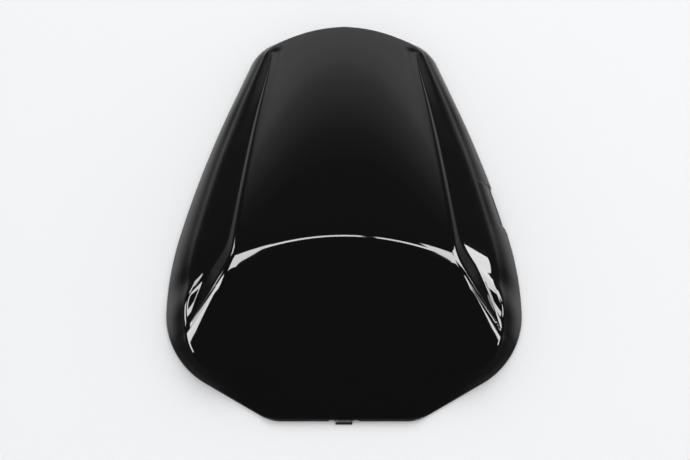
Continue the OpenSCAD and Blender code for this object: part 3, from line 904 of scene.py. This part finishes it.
def add_object(name: str, verts: Array, faces: Array, slot_of: Array) -> bpy.types.Object:
    """Makes a smooth-shaded object at the origin from arrays.

    Args:
        name: the object's name.
        verts: vertices in mm.
        faces: quads as vertex numbers, counter-clockwise from outside.
        slot_of: material slot of each face.

    Returns:
        The object, linked to the scene.
    """
    mesh = bpy.data.meshes.new(name)
    mesh.vertices.add(len(verts))
    mesh.vertices.foreach_set("co", (verts * MM).astype(np.float32).ravel())
    mesh.loops.add(faces.size)
    mesh.loops.foreach_set("vertex_index", faces.astype(np.int32).ravel())
    mesh.polygons.add(len(faces))
    mesh.polygons.foreach_set("loop_start", np.arange(0, faces.size, faces.shape[1], dtype=np.int32))
    mesh.polygons.foreach_set("material_index", slot_of.astype(np.int32))
    mesh.polygons.foreach_set("use_smooth", np.ones(len(faces), bool))
    mesh.update(calc_edges=True)
    mesh.validate()
    obj = bpy.data.objects.new(name, mesh)
    bpy.context.scene.collection.objects.link(obj)
    return obj


def lathe(profile: Array, around: int) -> tuple[Array, Array]:
    """Turns a profile of radius and height about +Z: (r cos a, r sin a, h).

    Args:
        profile: radius and height pairs, from the bottom of the outside upwards.
        around: steps round the axis.

    Returns:
        Vertices and quads facing outwards.
    """
    a = np.linspace(0, 2 * math.pi, around, endpoint=False)[:, None]
    r, h = profile[:, 0][None], profile[:, 1][None]
    verts = np.stack([r * np.cos(a), r * np.sin(a), h + 0 * a], axis=-1).reshape(-1, 3)
    quads = grid_quads(np.arange(len(verts)).reshape(around, len(profile)), True)
    return verts, np.roll(quads[:, ::-1], 1, axis=1)


def box_skin(
    lo: Point, hi: Point, top: Callable[[Array, Array], Array] | None, cells: tuple[int, int]
) -> tuple[Array, Array]:
    """A closed block whose top may follow a height; its sides are one quad high.

    Args:
        lo: lowest corner in mm. Under a top that follows a height, a z of 0 or less is the
            block's depth below that top.
        hi: highest corner in mm.
        top: height of the top at x, y, or none for a flat one.
        cells: cells along x and y.

    Returns:
        Vertices and quads facing outwards.
    """
    nx, ny = cells[0] + 1, cells[1] + 1
    x, y = np.meshgrid(np.linspace(lo[0], hi[0], nx), np.linspace(lo[1], hi[1], ny), indexing="ij")
    flat_x, flat_y = x.ravel(), y.ravel()
    high = np.full(flat_x.shape, hi[2]) if top is None else top(flat_x, flat_y)
    upper = np.stack([flat_x, flat_y, high], axis=-1)
    lower = upper.copy()
    lower[:, 2] = lo[2] if top is None or lo[2] > 0 else high + lo[2]
    n = np.arange(nx * ny).reshape(nx, ny)
    quads = np.stack([n[:-1, :-1], n[1:, :-1], n[1:, 1:], n[:-1, 1:]], axis=-1).reshape(-1, 4)
    loop = np.concatenate([n[:, 0], n[-1, 1:], n[-2::-1, -1], n[0, -2:0:-1]])
    following = np.roll(loop, -1)
    count = nx * ny
    sides = np.stack([loop + count, following + count, following, loop], axis=-1)
    return np.concatenate([upper, lower]), np.concatenate([quads, quads[:, ::-1] + count, sides])


@dataclass
class NodeBench:
    """Adds nodes to one shader tree and joins them."""

    tree: bpy.types.NodeTree

    def add(self, kind: str, **values: float | tuple[float, ...]) -> bpy.types.Node:
        """Adds a node and sets its inputs.

        Args:
            kind: the node's type without its prefix.
            values: value of each input, with _ in place of the blanks in its name.

        Returns:
            The node.
        """
        node = self.tree.nodes.new("ShaderNode" + kind)
        for name, value in values.items():
            node.inputs[name.replace("_", " ")].default_value = value
        return node

    def link(self, source: bpy.types.NodeSocket, target: bpy.types.NodeSocket) -> None:
        """Joins an output to an input."""
        self.tree.links.new(source, target)

    def rise(self, source: bpy.types.NodeSocket, lo: float, hi: float, top: float) -> bpy.types.NodeSocket:
        """A smooth rise of a value.

        Args:
            source: the value.
            lo: where the rise starts at 0.
            hi: where it ends.
            top: its height there.

        Returns:
            The output that carries it.
        """
        node = self.add("MapRange", From_Min=lo, From_Max=hi, To_Min=0.0, To_Max=top)
        node.interpolation_type = "SMOOTHSTEP"
        self.link(source, node.inputs["Value"])
        return node.outputs["Result"]

    def reckon(self, kind: str, one: bpy.types.NodeSocket, two: bpy.types.NodeSocket) -> bpy.types.NodeSocket:
        """Works out a value from two others.

        Args:
            kind: MULTIPLY or ADD.
            one: the first value.
            two: the second value.

        Returns:
            The output that carries it.
        """
        node = self.add("Math")
        node.operation = kind
        self.link(one, node.inputs[0])
        self.link(two, node.inputs[1])
        return node.outputs["Value"]


@dataclass(frozen=True)
class Finish:
    """A surface made of shader nodes that reads Object coordinates.

    Roughness wanders with a noise, and a finer noise lifts the surface a little.
    """

    name: str
    colour: Point
    roughness: float
    metal: float = 0.0
    wander: float = 0.1
    wander_mm: float = 30.0
    grain_mm: float = 1.0
    grain_lift: float = 0.01

    def make(self) -> bpy.types.Material:
        """Builds the material.

        Returns:
            The material.
        """
        mat = bpy.data.materials.new(self.name)
        mat.use_nodes = True
        bench = NodeBench(mat.node_tree)
        skin = mat.node_tree.nodes["Principled BSDF"]
        skin.inputs["Base Color"].default_value = (*self.colour, 1.0)
        skin.inputs["Roughness"].default_value = self.roughness
        skin.inputs["Metallic"].default_value = self.metal
        skin.inputs["IOR"].default_value = 1.5
        place = bench.add("TexCoord")
        cloud = bench.add("TexNoise", Scale=1.0 / (self.wander_mm * MM), Detail=4.0)
        spread = bench.add(
            "MapRange", To_Min=self.roughness * (1 - self.wander), To_Max=self.roughness * (1 + self.wander)
        )
        grain = bench.add("TexNoise", Scale=1.0 / (self.grain_mm * MM), Detail=2.0)
        bump = bench.add("Bump", Strength=1.0, Distance=self.grain_lift * MM)
        bench.link(place.outputs["Object"], cloud.inputs["Vector"])
        bench.link(place.outputs["Object"], grain.inputs["Vector"])
        bench.link(cloud.outputs["Fac"], spread.inputs["Value"])
        bench.link(spread.outputs["Result"], skin.inputs["Roughness"])
        bench.link(grain.outputs["Fac"], bump.inputs["Height"])
        bench.link(bump.outputs["Normal"], skin.inputs["Normal"])
        return mat


GLOSS_BLACK = Finish(
    "gloss_black", (0.0028, 0.0028, 0.0031), 0.045, wander=0.15, wander_mm=40, grain_mm=6, grain_lift=0.0015
)
SATIN_BLACK = Finish(
    "satin_black", (0.012, 0.012, 0.013), 0.42, wander=0.12, wander_mm=25, grain_mm=0.8, grain_lift=0.012
)
ZINC_STEEL = Finish(
    "zinc_steel", (0.46, 0.47, 0.46), 0.34, metal=1.0,
    wander=0.25, wander_mm=9, grain_mm=1.2, grain_lift=0.004,
)
BRIGHT_STEEL = Finish(
    "bright_steel", (0.60, 0.60, 0.61), 0.2, metal=1.0,
    wander=0.2, wander_mm=8, grain_mm=0.6, grain_lift=0.002,
)
DARK_STEEL = Finish(
    "dark_steel", (0.12, 0.12, 0.125), 0.36, metal=1.0,
    wander=0.2, wander_mm=6, grain_mm=0.5, grain_lift=0.002,
)
BLACK_RUBBER = Finish(
    "black_rubber", (0.02, 0.02, 0.02), 0.72, wander=0.08, wander_mm=8, grain_mm=0.5, grain_lift=0.02
)


@dataclass
class Moulding:
    """The shell as one object: skin, rim, tongue, ribs, screw bosses and pad posts."""

    shell: CowlShell = field(default_factory=CowlShell)
    lug_in: float = 9.0
    boss_x: float = 26.0
    boss_ys: tuple[float, float] = (-13.0, 29.0)
    boss_z: float = 48.0
    boss_r: float = 5.0
    pilot_r: float = 2.1
    pilot_l: float = 10.0
    chamfer: float = 0.4
    rib_half: float = 64.0
    rib_d: float = 8.0
    rib_t: float = 2.0
    post: Point = (36.0, 92.0, 20.0)
    post_w: float = 15.0

    def under(self, x: Array, y: Array) -> Array:
        """Height half a wall below the panel's skin, where ribs, bosses and posts join it."""
        return self.shell.panel_height(x, y) - 0.55 * self.shell.form.size.wall

    def tongue(self) -> tuple[Array, Array]:
        """The flat tongue in the middle of the front, out through the lip.

        Returns:
            Vertices and quads.
        """
        z = self.shell.form.size
        front = -z.length / 2
        lo = (-z.tongue_half, front - z.tongue_out, 0.0)
        hi = (z.tongue_half, front + z.wall + self.lug_in, z.tongue_t)
        return box_skin(lo, hi, None, (6, 6))

    def rib(self, y: float) -> tuple[Array, Array]:
        """A rib across the panel, its top following the skin.

        Args:
            y: its middle along the bike in mm.

        Returns:
            Vertices and quads.
        """
        t = self.rib_t / 2
        return box_skin(
            (-self.rib_half, y - t, -self.rib_d), (self.rib_half, y + t, 0.0), self.under, (64, 1)
        )

    def boss(self, x: float, y: float) -> tuple[Array, Array]:
        """A screw boss: its pilot hole, its chamfered end, and the flare where it meets the skin.

        Args:
            x: place across the bike in mm.
            y: place along the bike in mm.

        Returns:
            Vertices and quads.
        """
        top = float(self.under(np.array([x]), np.array([y]))[0])
        r, p, b, c = self.boss_r, self.pilot_r, self.boss_z, self.chamfer
        line = np.array(
            [[0.01, b + self.pilot_l], [p, b + self.pilot_l], [p, b + c], [p + c, b], [r - c, b],
             [r - 0.1, b + 0.1], [r, b + c], [r, top - 2], [r + 0.6, top - 0.7], [r + 1.2, top]]
        )
        verts, faces = lathe(line, 48)
        return verts + np.array([x, y, 0.0]), faces

    def pad_post(self, x: float) -> tuple[Array, Array]:
        """A square post that carries a pad.

        Args:
            x: place across the bike in mm.

        Returns:
            Vertices and quads.
        """
        y, z, w = self.post[1], self.post[2], self.post_w / 2
        return box_skin((x - w, y - w, z), (x + w, y + w, 0.0), self.under, (8, 8))

    def parts(self) -> list[tuple[Array, Array]]:
        """All that is moulded to the shell.

        Returns:
            Vertices and quads of each part.
        """
        made = [self.tongue()]
        for y in self.boss_ys:
            made += [self.rib(y), self.boss(-self.boss_x, y), self.boss(self.boss_x, y)]
        made += [self.pad_post(-self.post[0]), self.pad_post(self.post[0])]
        shift = np.array([0.0, self.shell.form.size.tongue_out / 2, 0.0])
        return [(verts + shift, quads) for verts, quads in made]

    def build(self) -> bpy.types.Object:
        """Joins skin and moulded parts into one object and gives it its two finishes.

        Returns:
            The object.
        """
        verts, faces, inside = self.shell.assemble()
        points, quads, slots, first = [verts], [faces], [inside.astype(int)], len(verts)
        for v, f in self.parts():
            points.append(v)
            quads.append(f + first)
            slots.append(np.ones(len(f), int))
            first += len(v)
        obj = add_object(
            "shell_moulding", np.concatenate(points), np.concatenate(quads), np.concatenate(slots)
        )
        obj.data.materials.append(GLOSS_BLACK.make())
        obj.data.materials.append(SATIN_BLACK.make())
        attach(obj, "root")
        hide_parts("cowl_shell")
        log.info("shell_moulding: %d faces", len(obj.data.polygons))
        return obj


def finish_nodes(finishes: dict[str, Finish]) -> None:
    """Gives CAD pieces their finishes.

    Args:
        finishes: finish of each CAD node.
    """
    for name, finish in finishes.items():
        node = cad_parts[name]
        node.data.materials.clear()
        node.data.materials.append(finish.make())
        log.info("%s: %s", name, finish.name)


class Shines(Enum):
    """What a lamp does: it lights the surfaces, or only the gloss mirrors it."""

    LIGHT = "light"
    GLOSS = "gloss"


@dataclass(frozen=True)
class Lamp:
    """A flat area lamp: what it does, place, size, power in watts, and where it points."""

    name: str
    shines: Shines
    place: Point
    size: tuple[float, float]
    power: float
    target: Point

    def make(self) -> bpy.types.Object:
        """Adds the lamp to the scene, turned towards its target.

        Returns:
            The lamp's object.
        """
        data = bpy.data.lights.new(self.name, "AREA")
        data.shape = "RECTANGLE"
        data.size, data.size_y = self.size
        data.energy = self.power
        obj = bpy.data.objects.new(self.name, data)
        obj.location = self.place
        aim = np.array(self.target) - np.array(self.place)
        pitch = math.atan2(math.hypot(aim[0], aim[1]), -aim[2])
        obj.rotation_euler = (pitch, 0.0, math.atan2(-aim[0], aim[1]) if pitch > 1e-6 else 0.0)
        obj.visible_glossy = self.shines is Shines.GLOSS
        obj.visible_diffuse = self.shines is Shines.LIGHT
        bpy.context.scene.collection.objects.link(obj)
        return obj


# The strips and sheets hang level overhead, the window, panel and low lamps upright at the sides.
LAMPS = (
    Lamp("soft_key", Shines.LIGHT, (0.3, 0.6, 2.2), (2.6, 2.6), 26.0, (0.0, 0.0, 0.0)),
    Lamp("strip_left", Shines.GLOSS, (-0.19, 0.0, 2.0), (0.52, 0.2), 5.2, (-0.19, 0.0, 0.0)),
    Lamp("strip_right", Shines.GLOSS, (0.33, 0.0, 2.0), (0.38, 0.16), 3.2, (0.33, 0.0, 0.0)),
    Lamp("sheet_left", Shines.GLOSS, (-0.89, -0.35, 2.0), (0.88, 1.0), 41.0, (-0.89, -0.35, 0.0)),
    Lamp("sheet_right", Shines.GLOSS, (0.92, -0.075, 2.0), (0.8, 0.85), 32.0, (0.92, -0.075, 0.0)),
    Lamp("window_left", Shines.GLOSS, (-1.3, 0.7, 0.76), (0.3, 0.68), 7.0, (0.0, 0.7, 0.76)),
    Lamp("panel_right", Shines.GLOSS, (1.3, 0.405, 1.18), (0.63, 1.64), 48.0, (0.0, 0.405, 1.18)),
    Lamp("low_left", Shines.GLOSS, (-1.3, -0.22, 0.5), (0.5, 0.5), 11.8, (0.0, -0.22, 0.5)),
    Lamp("low_right", Shines.GLOSS, (1.3, -0.16, 0.5), (0.2, 0.38), 3.6, (0.0, -0.16, 0.5)),
)


@dataclass(frozen=True)
class Studio:
    """The studio: a plain pale floor, the room that gloss mirrors, the viewpoint and the lamps.

    The backdrop's greys are given for sines of the angle above level. Its side edges fade
    between two cosines of the angle from straight behind the cowl.
    """

    floor_half: float = 4.0
    floor_colour: tuple[float, ...] = (0.93, 0.933, 0.936, 1.0)
    even_colour: tuple[float, ...] = (0.64, 0.645, 0.655, 1.0)
    room_glow: float = 0.065
    backdrop_side: tuple[float, float] = (0.70, 0.92)
    backdrop_greys: tuple[tuple[float, float], ...] = (
        (0.0, 0.9), (0.40, 0.8), (0.455, 0.7), (0.515, 0.42),
        (0.56, 0.3), (0.645, 0.09), (0.72, 0.02), (1.0, 0.0),
    )
    lens: float = 83.48
    view_from: Point = (0.0008, -0.5731, 1.2081)
    view_tilt: float = 25.0

    def floor(self) -> None:
        """A plain pale floor that keeps the shadow."""
        h = self.floor_half
        mesh = bpy.data.meshes.new("floor")
        mesh.from_pydata([(-h, -h, 0), (h, -h, 0), (h, h, 0), (-h, h, 0)], [], [(0, 1, 2, 3)])
        floor = bpy.data.objects.new("floor", mesh)
        bpy.context.scene.collection.objects.link(floor)
        mat = bpy.data.materials.new("pale_floor")
        mat.use_nodes = True
        skin = mat.node_tree.nodes["Principled BSDF"]
        skin.inputs["Base Color"].default_value = self.floor_colour
        skin.inputs["Roughness"].default_value = 0.9
        skin.inputs["Specular IOR Level"].default_value = 0.1
        mesh.materials.append(mat)
        floor.visible_glossy = False

    def room(self, bench: NodeBench) -> bpy.types.NodeSocket:
        """What gloss mirrors: a dark room with a pale backdrop.

        The backdrop stands behind the cowl, bright up to 25 degrees and gone at 45, and a dimmer
        part of it lies low behind. The room is glow + grey(height) * behind * above + laid.

        Args:
            bench: the world's nodes.

        Returns:
            The output that carries the brightness.
        """
        where, split, side = bench.add("TexCoord"), bench.add("SeparateXYZ"), bench.add("SeparateXYZ")
        flat, level = bench.add("VectorMath"), bench.add("VectorMath")
        flat.operation, level.operation = "MULTIPLY", "NORMALIZE"
        flat.inputs[1].default_value = (1.0, 1.0, 0.0)
        bench.link(where.outputs["Generated"], split.inputs["Vector"])
        bench.link(where.outputs["Generated"], flat.inputs[0])
        bench.link(flat.outputs["Vector"], level.inputs[0])
        bench.link(level.outputs["Vector"], side.inputs["Vector"])
        high, back = split.outputs["Z"], side.outputs["Y"]
        grey = bench.add("ValToRGB")
        while len(grey.color_ramp.elements) < len(self.backdrop_greys):
            grey.color_ramp.elements.new(0.5)
        for mark, (at, value) in zip(grey.color_ramp.elements, self.backdrop_greys):
            mark.position = at
            mark.color = (value, value, value, 1.0)
        bench.link(high, grey.inputs["Fac"])
        hung = bench.reckon("MULTIPLY", grey.outputs["Color"], bench.rise(back, *self.backdrop_side, 1.0))
        above = bench.reckon("MULTIPLY", hung, bench.rise(high, -0.12, 0.0, 1.0))
        laid = bench.reckon("MULTIPLY", bench.rise(high, -0.22, -0.6, 0.4), bench.rise(back, 0.05, 0.3, 1.0))
        glow = bench.add("Value")
        glow.outputs["Value"].default_value = self.room_glow
        return bench.reckon("ADD", bench.reckon("ADD", above, laid), glow.outputs["Value"])

    def world(self) -> None:
        """Even light for the surfaces, white for the camera and the room for gloss."""
        world = bpy.data.worlds.new("studio")
        bpy.context.scene.world = world
        world.use_nodes = True
        world.node_tree.nodes.clear()
        bench = NodeBench(world.node_tree)
        out, path = bench.add("OutputWorld"), bench.add("LightPath")
        even, gloss = bench.add("Background", Color=self.even_colour), bench.add("Background")
        white = bench.add("Background", Color=(1.0, 1.0, 1.0, 1.0))
        first, last = bench.add("MixShader"), bench.add("MixShader")
        bench.link(self.room(bench), gloss.inputs["Color"])
        bench.link(path.outputs["Is Glossy Ray"], first.inputs["Fac"])
        bench.link(even.outputs["Background"], first.inputs[1])
        bench.link(gloss.outputs["Background"], first.inputs[2])
        bench.link(path.outputs["Is Camera Ray"], last.inputs["Fac"])
        bench.link(first.outputs["Shader"], last.inputs[1])
        bench.link(white.outputs["Background"], last.inputs[2])
        bench.link(last.outputs["Shader"], out.inputs["Surface"])

    def camera(self) -> None:
        """The photograph's viewpoint: in front of the cowl, looking 65 degrees down."""
        data = bpy.data.cameras.new("camera")
        data.lens = self.lens
        data.sensor_width = 36.0
        camera = bpy.data.objects.new("camera", data)
        camera.location = self.view_from
        camera.rotation_euler = (math.radians(self.view_tilt), 0.0, 0.0)
        bpy.context.scene.collection.objects.link(camera)
        bpy.context.scene.camera = camera

    def build(self) -> None:
        """Sets up floor, world, camera and lamps."""
        self.floor()
        self.world()
        self.camera()
        for lamp in LAMPS:
            lamp.make()


def main() -> None:
    """Builds the dressed cowl and its studio."""
    logging.basicConfig(level=logging.INFO, format="%(message)s")
    bpy.context.scene.view_settings.view_transform = "Standard"
    Moulding().build()
    finish_nodes(
        {
            "latch_bracket": ZINC_STEEL,
            "latch_striker": BRIGHT_STEEL,
            "striker_nuts": ZINC_STEEL,
            "bracket_screws": DARK_STEEL,
            "pad_left": BLACK_RUBBER,
            "pad_right": BLACK_RUBBER,
        }
    )
    Studio().build()


if __name__ == "__main__":
    main()
